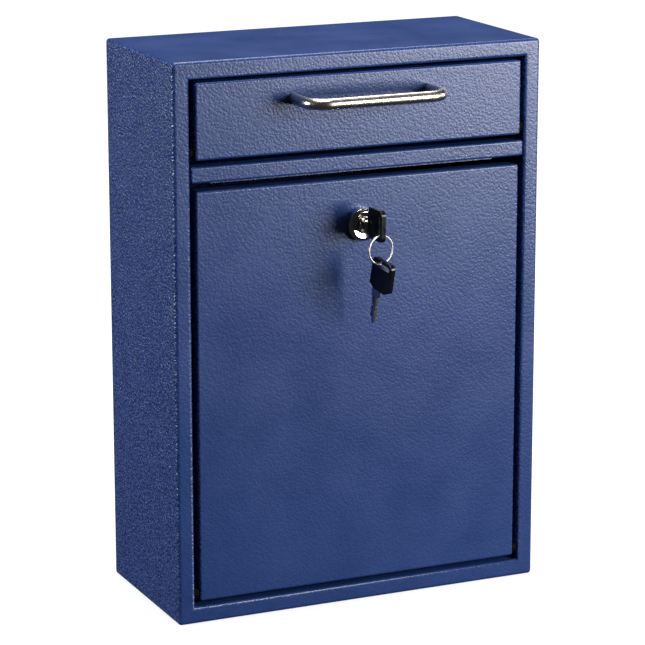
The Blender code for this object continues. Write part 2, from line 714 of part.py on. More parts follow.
def build_key(prefix, black, nickel):
    """A key in its own frame: length along X from the head's blade end, thickness in Y, height in Z."""
    half = HEAD_THICKNESS / 2
    bm = prism(head_outline(), "Y", -half, half)
    rims = [e for e in bm.edges if abs(e.verts[0].co.y - e.verts[1].co.y) < half]
    bmesh.ops.bevel(
        bm, geom=rims, offset=HEAD_EDGE, segments=2, profile=0.5, affect="EDGES", clamp_overlap=True
    )
    head = add_object(f"{prefix}_head", bm, black, smooth=True)
    cut(head, f"{prefix}_slot", [prism(slot_outline(), "Y", -2 * half, 2 * half)])
    side = BLADE_THICKNESS / 2 + GAP
    reach = COLLAR_HALF_HEIGHT + GAP
    cut(head, f"{prefix}_socket", [box((-HEAD_LENGTH, -side, -reach), (TANG + GAP, side, reach))])
    half = BLADE_THICKNESS / 2
    blade = add_object(f"{prefix}_blade", prism(blade_outline(), "Y", -half, half), nickel)
    return head, blade


def build_keys(turn, black, nickel):
    """The key in the lock, the ring through its head, and the spare key that hangs on the ring."""
    slot_length = HEAD_LENGTH - SLOT_FROM_END
    key_pivot = add_empty("key_slide", LOCK_PLACE, turn)
    # The key's length axis points at the viewer and its height axis up.
    pose = Matrix.Translation(LOCK_PLACE + Vector((0, KEY_BACK, 0))) @ Matrix.Rotation(-math.pi / 2, 4, "Z")
    for obj in build_key("key", black, nickel):
        obj.matrix_world = pose
        attach(obj, key_pivot)

    up = Vector((0, 0, 1))
    hang = pose @ Vector((slot_length - RING_BACK, 0, SLOT_LOW + RING_IN_SLOT))
    ring_pivot = add_empty("ring_pivot", hang, key_pivot)
    wire = arc((RING_RADIUS, 0), RING_WIRE, 0, 8, 360)[:-1]
    ring = add_object("key_ring", turned(wire, closed=True, steps=40), nickel, smooth=True)
    ring.rotation_euler = (math.pi / 2, 0, HANG_YAW)
    ring.location = hang - RING_RADIUS * up
    attach(ring, ring_pivot)

    spare_pivot = add_empty("spare_pivot", hang - RING_RADIUS * up, ring_pivot)
    outward = Vector((math.sin(HANG_YAW), -math.cos(HANG_YAW), 0))
    length = math.sin(SPARE_TILT) * outward + math.cos(SPARE_TILT) * up
    height = math.cos(SPARE_TILT) * outward - math.sin(SPARE_TILT) * up
    frame = Matrix((length, height.cross(length), height)).transposed().to_4x4()
    rest = frame @ Vector((slot_length, 0, SLOT_LOW + SLOT_HALF_WIDTH + SPARE_SLIDE))
    held_at = rest + (SLOT_HALF_WIDTH - RING_IN_SLOT) * up
    for obj in build_key("spare_key", black, nickel):
        obj.matrix_world = Matrix.Translation(hang - 2 * RING_RADIUS * up - held_at) @ frame
        attach(obj, spare_pivot)


def main():
    clear_scene()
    paint = make_material("blue_powder_coat", (0.035, 0.075, 0.29), 0.42, 0.0)
    brushed = make_material("brushed_nickel", (0.72, 0.69, 0.64), 0.28, 1.0)
    chrome = make_material("chrome", (0.82, 0.82, 0.82), 0.08, 1.0)
    steel = make_material("zinc_steel", (0.6, 0.61, 0.62), 0.35, 1.0)
    brass = make_material("brass", (0.75, 0.55, 0.22), 0.3, 1.0)
    nickel = make_material("nickel_plate", (0.66, 0.63, 0.58), 0.22, 1.0)
    black = make_material("black_plastic", (0.012, 0.012, 0.014), 0.3, 0.0)
    nylon = make_material("dark_nylon", (0.03, 0.03, 0.035), 0.6, 0.0)
    build_cabinet(paint)
    build_hopper(paint, brushed, steel, nylon)
    door_pivot = build_door(paint, steel, nylon)
    plug_pivot = build_lock(door_pivot, chrome, brass, steel)
    build_keys(plug_pivot, black, nickel)
    bpy.context.view_layer.update()


main()
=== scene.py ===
"""Looks of a wall mailbox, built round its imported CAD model.

Textured powder coat, a satin handle, a cam lock and its keys.
"""

import math

import bmesh
import bpy
from mathutils import Matrix, Vector


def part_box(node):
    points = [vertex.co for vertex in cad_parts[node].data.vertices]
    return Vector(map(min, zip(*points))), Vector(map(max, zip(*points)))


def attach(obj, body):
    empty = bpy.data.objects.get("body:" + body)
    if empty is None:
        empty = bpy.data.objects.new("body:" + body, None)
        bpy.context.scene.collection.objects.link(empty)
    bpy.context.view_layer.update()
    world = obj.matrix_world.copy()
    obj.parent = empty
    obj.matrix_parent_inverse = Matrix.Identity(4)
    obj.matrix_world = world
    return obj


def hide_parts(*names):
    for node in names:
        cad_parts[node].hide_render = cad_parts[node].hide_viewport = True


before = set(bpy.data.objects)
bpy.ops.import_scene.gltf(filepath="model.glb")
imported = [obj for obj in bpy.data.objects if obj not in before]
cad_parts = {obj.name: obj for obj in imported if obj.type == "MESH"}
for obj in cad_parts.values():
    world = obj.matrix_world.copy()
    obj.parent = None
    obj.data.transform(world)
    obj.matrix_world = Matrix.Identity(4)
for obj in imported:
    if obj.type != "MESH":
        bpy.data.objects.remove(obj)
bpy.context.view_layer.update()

# Cabinet
SHEET = 0.0012
FRAME = 0.0125  # face width of the frame round the doors
FRAME_RETURN = 0.012
OUTER_BEND = 0.0025
BEND_STEPS = 6
PIN_HOLE_RADIUS = 0.0026

# Doors and rail
PAN_BEND = 0.0017
PAN_CORNER = 0.002
RAIL_CORNER = 0.0016

# Handle
HANDLE_RADIUS = 0.004
HANDLE_BEND = 0.014
HANDLE_BORE_RADIUS = 0.0021
HANDLE_BORE = 0.0125
SEAT = 0.0001  # left between a fitting and the painted face it sits on

# Screws
SCREW_HEAD = 0.0026
SCREW_HEAD_RADIUS = 0.0035
HANDLE_SCREW_RADIUS = 0.0019
CAM_SCREW_RADIUS = 0.0017
SCREW_PITCH = 0.0007
SCREW_THREAD = 0.00025
RECESS_DEPTH = 0.0014
RECESS_REACH = 0.0021
RECESS_HALF_WIDTH = 0.0004

# Lock
LOCK_HEIGHT = 0.2812
BEZEL_RADIUS = 0.0118
BEZEL_PROJECTION = 0.0068
BARREL_RADIUS = 0.009
BARREL_FLAT = 0.0078
BARREL_DEPTH = 0.0134
BARREL_THREAD = 0.0004
BARREL_THREAD_FROM = 0.0016
BARREL_PITCH = 0.001
OPENING_GAP = 0.0002  # left round the barrel where it passes through a sheet or the nut
BORE_RADIUS = 0.0063
PLUG_RADIUS = 0.006
PLUG_FRONT = -0.0063
PLUG_DEPTH = 0.0137
NECK_HALF = 0.0034
NECK = 0.0023
CAM_SCREW_BORE_RADIUS = 0.002
CAM_SCREW_BORE = 0.0068
KEYWAY_HALF_WIDTH = 0.0013
KEYWAY_HALF_HEIGHT = 0.0031
KEYWAY_DEPTH = 0.0119
WAFERS = 5
FIRST_WAFER = -0.004
WAFER_PITCH = 0.0024
WAFER_SLOT = 0.0014
WAFER_HALF_WIDTH = 0.0032
NUT_RADIUS = 0.0135
NUT = 0.003
NUT_TURNED_OFF = 0.0011

# Keys: length runs from the head's blade end, height from the blade's centre line
KEY_BACK = -0.0142
HEAD_LENGTH = 0.0233
HEAD_LOW = -0.007
HEAD_HIGH = 0.0155
HEAD_THICKNESS = 0.0036
HEAD_CORNER = 0.0035
HEAD_SHOULDER_LENGTH = 0.003
HEAD_SHOULDER_HEIGHT = 0.005
SLOT_FROM_END = 0.0042
SLOT_HALF_WIDTH = 0.0016
SLOT_LOW = -0.0034
SLOT_HIGH = 0.0126
BLADE_LENGTH = 0.0258
BLADE_HALF_HEIGHT = 0.0026
BLADE_THICKNESS = 0.0019
BLADE_CUTS = [0.0009, 0.0014, 0.0006, 0.0012, 0.0007]
CUT_HALF_WIDTH = 0.0004
GROOVE_DEPTH = 0.0004
GROOVE_OVERLAP = 0.0006
COLLAR_LENGTH = 0.0055
COLLAR_HALF_HEIGHT = 0.0038
TANG = 0.009
TANG_GAP = 0.0001
RING_RADIUS = 0.0102
RING_WIRE = 0.00058
RING_IN_SLOT = 0.0012
RING_BACK = 0.0002
HANG_YAW = math.radians(12)
SPARE_TILT = math.radians(12.5)
SPARE_SLIDE = 0.0024

LOW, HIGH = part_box("top_panel")
HALF = HIGH.x
FRONT = LOW.y
BACK = HIGH.y
HEIGHT = HIGH.z
STILE_INNER = HALF - FRAME
LOCK_PLACE = Vector((0, FRONT, LOCK_HEIGHT))
KEY_PLACE = LOCK_PLACE + Vector((0, KEY_BACK, 0))
KEY_POSE = Matrix.Translation(KEY_PLACE) @ Matrix.Rotation(-math.pi / 2, 4, "Z")


# ---------------------------------------------------------------- geometry helpers


def object_from(name, bm, sharp=35):
    """An object from a bmesh, which is freed, smooth except at sharp edges."""
    mesh = bpy.data.meshes.new(name)
    bm.to_mesh(mesh)
    bm.free()
    mesh.shade_smooth()
    mesh.set_sharp_from_angle(angle=math.radians(sharp))
    obj = bpy.data.objects.new(name, mesh)
    bpy.context.scene.collection.objects.link(obj)
    return obj


def closed(bm):
    bmesh.ops.recalc_face_normals(bm, faces=bm.faces)
    return bm


def bake(obj, sharp=35):
    """Replaces an object's mesh by what its modifiers make of it."""
    bpy.context.view_layer.update()
    graph = bpy.context.evaluated_depsgraph_get()
    mesh = bpy.data.meshes.new_from_object(obj.evaluated_get(graph))
    obj.modifiers.clear()
    obj.data = mesh
    mesh.shade_smooth()
    mesh.set_sharp_from_angle(angle=math.radians(sharp))
    return obj


def boolean(obj, bm, operation="DIFFERENCE", solver="EXACT"):
    """Cuts or joins a bmesh at once."""
    other = object_from("cutter", closed(bm))
    modifier = obj.modifiers.new("boolean", "BOOLEAN")
    modifier.operation = operation
    modifier.solver = solver
    modifier.object = other
    bake(obj)
    bpy.data.objects.remove(other)


def merged(parts):
    whole = bmesh.new()
    for part in parts:
        mesh = bpy.data.meshes.new("part")
        closed(part).to_mesh(mesh)
        part.free()
        whole.from_mesh(mesh)
        bpy.data.meshes.remove(mesh)
    return whole


def solidify(obj, thickness):
    shell = obj.modifiers.new("sheet", "SOLIDIFY")
    shell.thickness = thickness
    shell.offset = -1
    shell.use_even_offset = True
    return bake(obj)


def soften(obj, width, segments, angle):
    """Rounds an object's sharp edges and keeps its flat faces flat."""
    edge = obj.modifiers.new("edges", "BEVEL")
    edge.width = width
    edge.segments = segments
    edge.limit_method = "ANGLE"
    edge.angle_limit = math.radians(angle)
    edge.harden_normals = False


def flatten(obj):
    """Shades large faces as flat, with the bend between them rounded."""
    weighted = obj.modifiers.new("normals", "WEIGHTED_NORMAL")
    weighted.keep_sharp = True
    weighted.weight = 80
    return obj


def finish(obj, body, material, replaces):
    """Gives a piece its material and body, and hides the CAD nodes that it stands for."""
    obj.data.materials.clear()
    obj.data.materials.append(material)
    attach(obj, body)
    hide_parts(*replaces)


def box(low, high):
    bm = bmesh.new()
    size = [abs(b - a) for a, b in zip(low, high)]
    middle = Matrix.Translation((Vector(high) + Vector(low)) / 2)
    bmesh.ops.create_cube(bm, size=1, matrix=middle @ Matrix.Diagonal((*size, 1)))
    return bm


def prism(outline, start, end):
    """A bmesh block along Y from an (x, z) outline."""
    bm = bmesh.new()
    face = bm.faces.new([bm.verts.new((a, start, b)) for a, b in outline])
    grown = bmesh.ops.extrude_face_region(bm, geom=[face])["geom"]
    verts = [v for v in grown if isinstance(v, bmesh.types.BMVert)]
    bmesh.ops.translate(bm, verts=verts, vec=(0, end - start, 0))
    return closed(bm)


def turned(profile, steps, loop=False):
    """A bmesh solid turned about Z from (radius, height) points."""
    bm = bmesh.new()
    verts = [bm.verts.new((r, 0, h)) for r, h in profile]
    edges = [bm.edges.new(pair) for pair in zip(verts, verts[1:])]
    if loop:
        edges.append(bm.edges.new((verts[-1], verts[0])))
    bmesh.ops.spin(bm, geom=verts + edges, cent=(0, 0, 0), axis=(0, 0, 1), angle=math.tau, steps=steps)
    bmesh.ops.remove_doubles(bm, verts=bm.verts, dist=1e-6)
    return closed(bm)


def moved(bm, matrix):
    bmesh.ops.transform(bm, matrix=matrix, verts=bm.verts)
    return bm


def facing_front(x, depth, z):
    """Local Z turned to the viewer, with its origin at a depth behind the front plane."""
    return Matrix.Translation((x, FRONT + depth, z)) @ Matrix.Rotation(math.pi / 2, 4, "X")


def bore(place, axis, radius, length, steps=32):
    bm = turned([(0, 0), (radius, 0), (radius, length), (0, length)], steps)
    lay = Matrix.Rotation(math.pi / 2, 4, {"X": "Y", "Y": "X"}[axis])
    return moved(bm, Matrix.Translation(place) @ lay @ Matrix.Translation((0, 0, -length / 2)))


def arc(centre, radius, start, steps, turn):
    angles = [math.radians(start + turn * i / steps) for i in range(steps + 1)]
    return [(centre[0] + radius * math.cos(a), centre[1] + radius * math.sin(a)) for a in angles]


def rounded_path(points, radius, steps):
    """An open path of 3-D points with each corner turned into an arc."""
    path = [points[0]]
    for before, corner, after in zip(points, points[1:], points[2:]):
        inward, outward = (before - corner).normalized(), (after - corner).normalized()
        half = inward.angle(outward) / 2
        centre = corner + (inward + outward).normalized() * (radius / math.sin(half))
        spoke = corner + inward * (radius / math.tan(half)) - centre
        axis = outward.cross(inward)
        for i in range(steps + 1):
            path.append(centre + Matrix.Rotation((math.pi - 2 * half) * i / steps, 3, axis) @ spoke)
    return path + [points[-1]]


def swept(path, section):
    """A bmesh bar with a (side, up) section swept along a level path."""
    bm = bmesh.new()
    rings = []
    for i, point in enumerate(path):
        tangent = (path[min(i + 1, len(path) - 1)] - path[max(i - 1, 0)]).normalized()
        side = tangent.cross(Vector((0, 0, 1))).normalized()
        rise = side.cross(tangent).normalized()
        rings.append([bm.verts.new(point + a * side + b * rise) for a, b in section])
    for first, second in zip(rings, rings[1:]):
        for k in range(len(section)):
            bm.faces.new((first[k], first[k - 1], second[k - 1], second[k]))
    bm.faces.new(rings[0])
    bm.faces.new(rings[-1])
    return closed(bm)


def bend(bm, edges, radius):
    """Rounds a bmesh's edges as a sheet bends."""
    options = {"segments": BEND_STEPS, "profile": 0.5, "affect": "EDGES", "clamp_overlap": True}
    bmesh.ops.bevel(bm, geom=edges, offset=radius, **options)


def pan(name, node, corner):
    """A sheet pan in the place of its CAD node, open at the back, with bent edges and rounded corners."""
    low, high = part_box(node)
    depth = high.y - low.y
    bm = closed(box((-high.x, low.y, low.z), high))
    back = max(bm.faces, key=lambda f: f.calc_center_median().y)
    bmesh.ops.delete(bm, geom=[back], context="FACES_ONLY")
    bend(bm, [e for e in bm.edges if abs(e.verts[0].co.y - e.verts[1].co.y) > depth / 2], corner)
    bend(bm, [e for e in bm.edges if all(abs(v.co.y - low.y) < 1e-6 for v in e.verts)], PAN_BEND)
    return solidify(object_from(name, bm), SHEET)


# ---------------------------------------------------------------- materials


class Tree:
    """A material's nodes, each made and wired by one call."""

    def __init__(self, name, colour, roughness, metallic=0.0, **sockets):
        self.material = bpy.data.materials.new(name)
        self.material.use_nodes = True
        self.nodes = self.material.node_tree.nodes
        self.links = self.material.node_tree.links
        self.shader = self.nodes["Principled BSDF"]
        self.set(self.shader, {"Base Color": (*colour, 1), "Roughness": roughness, "Metallic": metallic})
        self.set(self.shader, sockets)
        self.place = self.add("ShaderNodeTexCoord").outputs["Object"]

    def set(self, node, values):
        for key, value in values.items():
            if isinstance(value, bpy.types.NodeSocket):
                self.links.new(value, node.inputs[key])
            else:
                node.inputs[key].default_value = value

    def add(self, kind, inputs=None, **options):
        node = self.nodes.new(kind)
        for key, value in options.items():
            setattr(node, key, value)
        self.set(node, inputs or {})
        return node

    def stretched(self, scale):
        node = self.add("ShaderNodeMapping", {"Vector": self.place, "Scale": scale})
        return node.outputs["Vector"]

    def noise(self, scale, detail=2.0, roughness=0.5, vector=None):
        values = {"Vector": vector or self.place, "Scale": scale, "Detail": detail, "Roughness": roughness}
        return self.add("ShaderNodeTexNoise", values).outputs["Fac"]

    def cells(self, scale, vector=None, feature="SMOOTH_F1", **inputs):
        values = {"Vector": vector or self.place, "Scale": scale, **inputs}
        return self.add("ShaderNodeTexVoronoi", values, feature=feature).outputs["Distance"]

    def remap(self, value, low, high, to_low, to_high, smooth=False):
        values = {"Value": value, "From Min": low, "From Max": high, "To Min": to_low, "To Max": to_high}
        kind = "SMOOTHSTEP" if smooth else "LINEAR"
        return self.add("ShaderNodeMapRange", values, interpolation_type=kind).outputs["Result"]

    def math(self, operation, *values):
        node = self.add("ShaderNodeMath", dict(enumerate(values)), operation=operation)
        return node.outputs["Value"]

    def mix(self, factor, a, b):
        node = self.add("ShaderNodeMix", data_type="RGBA")
        self.set(node, {0: factor, 6: a, 7: b})
        return node.outputs[2]

    def bump(self, height, strength, distance):
        values = {"Height": height, "Strength": strength, "Distance": distance}
        return self.add("ShaderNodeBump", values).outputs["Normal"]

    def finish(self, **sockets):
        names = {"colour": "Base Color", "roughness": "Roughness", "normal": "Normal"}
        self.set(self.shader, {names[k]: v for k, v in sockets.items()})
        return self.material


def powder_coat():
    """Deep blue textured powder coat.

    A leathery grain about 2 mm across has finer orange peel on it, and the sides show it more, with painted
    glints: light and dark specks in the colour for the grain catching grazing light.
    """
    tree = Tree("blue_powder_coat", (0.016, 0.042, 0.16), 0.33, **{"Specular IOR Level": 0.5})
    wander = tree.add("ShaderNodeTexNoise", {"Vector": tree.place, "Scale": 260.0, "Detail": 1.0})
    values = {0: wander.outputs["Color"], 1: (0.0016, 0.0016, 0.0016), 2: tree.place}
    shift = tree.add("ShaderNodeVectorMath", values, operation="MULTIPLY_ADD")
    grain = tree.cells(520.0, vector=shift.outputs["Vector"], Smoothness=0.35)
    pebble = tree.remap(grain, 0.1, 0.75, 0.0, 1.0, smooth=True)
    peel = tree.noise(1500.0, 2.0, 0.6)
    height = tree.math("MULTIPLY_ADD", peel, 0.35, pebble)
    patch = tree.noise(22.0, 3.0, 0.55)
    tone = tree.math("MULTIPLY_ADD", patch, 0.7, tree.math("MULTIPLY", pebble, 0.3))
    even = tree.remap(tone, 0.2, 0.8, 0.0, 1.0)
    colour = tree.mix(even, (0.013, 0.035, 0.137, 1), (0.019, 0.05, 0.186, 1))
    roughness = tree.remap(patch, 0.3, 0.7, 0.28, 0.34)
    normal = tree.add("ShaderNodeTexCoord").outputs["Normal"]
    facing = tree.add("ShaderNodeSeparateXYZ", {"Vector": normal})
    sideways = tree.math("ABSOLUTE", facing.outputs["X"])
    # Painted highlight: faces turned sideways get light and dark specks in their colour, standing in for
    # the grain glinting in grazing light
    side_glint_mask = tree.remap(tree.noise(620.0, 2.0, 0.6), 0.4, 0.62, 0.0, 1.0)
    side_glint_colour = tree.mix(side_glint_mask, (0.003, 0.014, 0.072, 1), (0.048, 0.086, 0.255, 1))
    colour = tree.mix(sideways, colour, side_glint_colour)
    strength = tree.remap(sideways, 0.0, 1.0, 0.14, 0.9)
    return tree.finish(colour=colour, roughness=roughness, normal=tree.bump(height, strength, 0.0004))


def brushed_metal(name, colour, roughness, along, depth):
    """Metal with fine lines along one axis, and roughness that wanders."""
    tree = Tree(name, colour, roughness, 1.0)
    scale = [60.0 if axis == along else 5200.0 for axis in "XYZ"]
    lines = tree.noise(1.0, 3.0, 0.6, vector=tree.stretched(scale))
    cloud = tree.noise(160.0, 3.0)
    wandering = tree.remap(cloud, 0.3, 0.7, roughness - 0.11, roughness - 0.05)
    rough = tree.math("MULTIPLY_ADD", lines, 0.06, wandering)
    dark = tuple(c * 0.93 for c in colour)
    shade = tree.mix(tree.remap(lines, 0.3, 0.7, 0.0, 1.0), (*dark, 1), (*colour, 1))
    return tree.finish(colour=shade, roughness=rough, normal=tree.bump(lines, 0.5, depth))


def polished_metal(name, colour, roughness):
    """Bright plating with faint haze, pits and fingerprints."""
    tree = Tree(name, colour, roughness, 1.0)
    haze = tree.noise(340.0, 4.0, 0.6)
    pits = tree.noise(2600.0, 2.0, 0.5)
    rough = tree.remap(haze, 0.35, 0.7, roughness * 0.7, roughness * 1.8)
    warm = tuple(c * f for c, f in zip(colour, (0.95, 0.9, 0.82)))
    shade = tree.mix(tree.remap(haze, 0.45, 0.75, 0.0, 1.0), (*colour, 1), (*warm, 1))
    return tree.finish(colour=shade, roughness=rough, normal=tree.bump(pits, 0.12, 0.00002))


def zinc():
    """Zinc-plated steel with a faint spangle."""
    tree = Tree("zinc_steel", (0.6, 0.61, 0.62), 0.35, 1.0)
    spangle = tree.cells(700.0, feature="F1")
    cloud = tree.noise(240.0, 4.0, 0.65)
    blend = tree.math("MULTIPLY", spangle, cloud)
    grey = tree.remap(blend, 0.05, 0.35, 0.0, 1.0)
    shade = tree.mix(grey, (0.42, 0.43, 0.44, 1), (0.68, 0.68, 0.66, 1))
    rough = tree.remap(cloud, 0.3, 0.7, 0.26, 0.44)
    return tree.finish(colour=shade, roughness=rough, normal=tree.bump(cloud, 0.2, 0.00005))


def brass():
    """Bare brass with a dull, wandering tone."""
    tree = Tree("brass", (0.75, 0.52, 0.2), 0.3, 1.0)
    cloud = tree.noise(900.0, 4.0, 0.6)
    dull = tree.remap(cloud, 0.3, 0.7, 0.0, 1.0)
    shade = tree.mix(dull, (0.5, 0.38, 0.24, 1), (0.68, 0.55, 0.38, 1))
    rough = tree.remap(cloud, 0.3, 0.7, 0.2, 0.4)
    return tree.finish(colour=shade, roughness=rough, normal=tree.bump(cloud, 0.2, 0.00003))


def moulded_plastic(name, colour, roughness, grain, gloss):
    """Moulded plastic with a fine spark-eroded grain and rubbed patches."""
    tree = Tree(name, colour, roughness, 0.0, **{"Specular IOR Level": gloss})
    fine = tree.noise(3200.0, 2.0, 0.6)
    rubbed = tree.noise(180.0, 3.0, 0.6)
    pale = tuple(c * 1.7 + 0.003 for c in colour)
    shade = tree.mix(tree.remap(rubbed, 0.3, 0.75, 0.0, 1.0), (*colour, 1), (*pale, 1))
    rough = tree.remap(rubbed, 0.3, 0.7, roughness - 0.06, roughness + 0.08)
    return tree.finish(colour=shade, roughness=rough, normal=tree.bump(fine, grain, 0.00004))


def floor_material():
    """A white floor with painted light: it glows, weaker near the object and stronger away from it, so that
    it stays near-white where the lamps fall off.
    """
    tree = Tree("studio_floor", (0.3, 0.3, 0.3), 0.7, **{"Specular IOR Level": 0.0})
    cloud = tree.noise(3.0, 2.0)
    worn = tree.remap(cloud, 0.3, 0.7, 0.0, 1.0)
    shade = tree.mix(worn, (0.29, 0.29, 0.29, 1), (0.31, 0.31, 0.31, 1))
    distance = tree.add("ShaderNodeVectorMath", {0: tree.place}, operation="LENGTH").outputs["Value"]
    # Painted light: emission that rises with distance from the object
    painted_floor_light = tree.remap(distance, 0.3, 1.6, 0.76, 1.0)
    tree.set(tree.shader, {"Emission Color": (1, 1, 1, 1), "Emission Strength": painted_floor_light})
    return tree.finish(colour=shade)


PAINT = powder_coat()
SATIN = brushed_metal("satin_nickel", (0.72, 0.655, 0.57), 0.32, "X", 0.0000008)
CHROME = polished_metal("polished_chrome", (0.84, 0.83, 0.81), 0.07)
ZINC = zinc()
BRASS = brass()
KEY_METAL_LEVEL = brushed_metal("key_nickel_level", (0.6, 0.57, 0.52), 0.26, "Y", 0.00001)
KEY_METAL_UPRIGHT = brushed_metal("key_nickel_upright", (0.6, 0.57, 0.52), 0.26, "Z", 0.00001)
RING_METAL = polished_metal("ring_steel", (0.86, 0.84, 0.78), 0.34)
BLACK = moulded_plastic("key_plastic", (0.003, 0.003, 0.0032), 0.2, 0.1, 0.45)
NYLON = moulded_plastic("dark_nylon", (0.002, 0.002, 0.0025), 0.7, 0.3, 0.04)


# ---------------------------------------------------------------- cabinet


def build_shell():
    """The welded wrap: sides, top, bottom and the flanged frame round the doors, in one bent sheet."""
    inset = (STILE_INNER, FRAME, HEIGHT - FRAME)
    full = (HALF, 0, HEIGHT)
    rings = [(*full, BACK), (*full, FRONT), (*inset, FRONT), (*inset, FRONT + FRAME_RETURN)]
    bm = bmesh.new()
    loops = [
        [bm.verts.new(p) for p in ((-w, y, low), (w, y, low), (w, y, high), (-w, y, high))]
        for w, low, high, y in rings
    ]
    for first, second in zip(loops, loops[1:]):
        for i in range(4):
            bm.faces.new((first[i - 1], first[i], second[i], second[i - 1]))
    outer, inner = set(loops[1]), set(loops[2])
    rim = [e for e in bm.edges if set(e.verts) <= outer or set(e.verts) <= inner]
    corners = [e for e in bm.edges if e.verts[0] in loops[0] and e.verts[1] in outer]
    corners += [e for e in bm.edges if e.verts[1] in loops[0] and e.verts[0] in outer]
    bend(bm, rim + corners, OUTER_BEND)
    shell = solidify(object_from("cabinet_shell", bm), SHEET)
    reach = STILE_INNER + SHEET
    boolean(shell, merged(pin_bores("hopper_pin", reach) + pin_bores("door_pin", reach)))
    panels = ("left_side_panel", "right_side_panel", "top_panel", "bottom_panel")
    finish(flatten(shell), "cabinet", PAINT, panels)


def build_rail():
    rail = pan("rail_skin", "mid_rail", RAIL_CORNER)
    finish(flatten(rail), "cabinet", PAINT, ["mid_rail"])


def pin_bores(pin, half_width):
    """Bores for the two hinge pins of a door with this half width."""
    low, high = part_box(f"{pin}_left")
    centre = (low + high) / 2
    return [
        bore((side * (half_width - SHEET / 2), centre.y, centre.z), "X", PIN_HOLE_RADIUS, 3 * SHEET)
        for side in (-1, 1)
    ]


def barrel_opening(start, end):
    """The section of the flatted barrel with a gap round it, from one depth to another."""
    radius = BARREL_RADIUS + OPENING_GAP
    edge = math.degrees(math.asin((BARREL_FLAT + OPENING_GAP) / radius))
    outline = arc((0, 0), radius, -edge, 16, 2 * edge) + arc((0, 0), radius, 180 - edge, 16, 2 * edge)
    return moved(prism(outline, start, end), Matrix.Translation(LOCK_PLACE))


def handle_bores(front, length):
    """Bores for the handle's two screws, half of each before a depth."""
    low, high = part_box("pull_handle")
    level = (low.z + high.z) / 2
    return [
        bore((side * (high.x - HANDLE_RADIUS), front, level), "Y", HANDLE_BORE_RADIUS, length)
        for side in (-1, 1)
    ]


def build_doors():
    low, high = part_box("hopper_door")
    hopper = pan("deposit_door", "hopper_door", PAN_CORNER)
    screw_holes = handle_bores(low.y + SHEET / 2, 3 * SHEET)
    boolean(hopper, merged(pin_bores("hopper_pin", high.x) + screw_holes), solver="MANIFOLD")
    finish(flatten(hopper), "hopper", PAINT, ["hopper_door"])

    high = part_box("lower_door")[1]
    door = pan("mail_door", "lower_door", PAN_CORNER)
    holes = pin_bores("door_pin", high.x) + [barrel_opening(-SHEET, 2 * SHEET)]
    boolean(door, merged(holes), solver="MANIFOLD")
    finish(flatten(door), "door", PAINT, ["lower_door"])


# ---------------------------------------------------------------- handle


def build_handle():
    low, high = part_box("pull_handle")
    span = high.x - HANDLE_RADIUS
    level = (low.z + high.z) / 2
    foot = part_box("hopper_door")[0].y - SEAT
    bar = low.y + HANDLE_RADIUS
    corners = [Vector((x, y, level)) for x, y in ((-span, foot), (-span, bar), (span, bar), (span, foot))]
    section = arc((0, 0), HANDLE_RADIUS, 0, 40, 360)[:-1]
    handle = object_from("handle_bar", swept(rounded_path(corners, HANDLE_BEND, 16), section))
    boolean(handle, merged(handle_bores(foot, 2 * HANDLE_BORE)))
    soften(handle, 0.0002, 2, 60)
    finish(flatten(handle), "hopper", SATIN, ["pull_handle"])


def screw(name, node, body, radius):
    """A pan-head cross-recess screw in the place of its CAD node, head to the back."""
    low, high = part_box(node)
    centre = (low + high) / 2
    reach = high.y - low.y
    dome = arc((0, 0), 1, 90, 8, -90)
    profile = [(0, 0)]
    profile += [(SCREW_HEAD_RADIUS * r, SCREW_HEAD * (0.55 - 0.55 * h)) for r, h in dome]
    profile += [(SCREW_HEAD_RADIUS, SCREW_HEAD), (radius + 0.0004, SCREW_HEAD)]
    for i in range(int((reach - SCREW_HEAD) / SCREW_PITCH)):
        at = SCREW_HEAD + SCREW_PITCH * i
        profile += [(radius, at + 0.0002), (radius - SCREW_THREAD, at + 0.00055)]
    profile += [(radius - 0.0003, reach), (0, reach)]
    place = facing_front(centre.x, high.y - FRONT, centre.z)
    made = object_from(name, moved(turned(profile, 32), place))
    for across, up in ((RECESS_REACH, RECESS_HALF_WIDTH), (RECESS_HALF_WIDTH, RECESS_REACH)):
        start = (centre.x - across, high.y - RECESS_DEPTH, centre.z - up)
        boolean(made, box(start, (centre.x + across, high.y + 0.001, centre.z + up)))
    finish(made, body, ZINC, [node])


# ---------------------------------------------------------------- lock


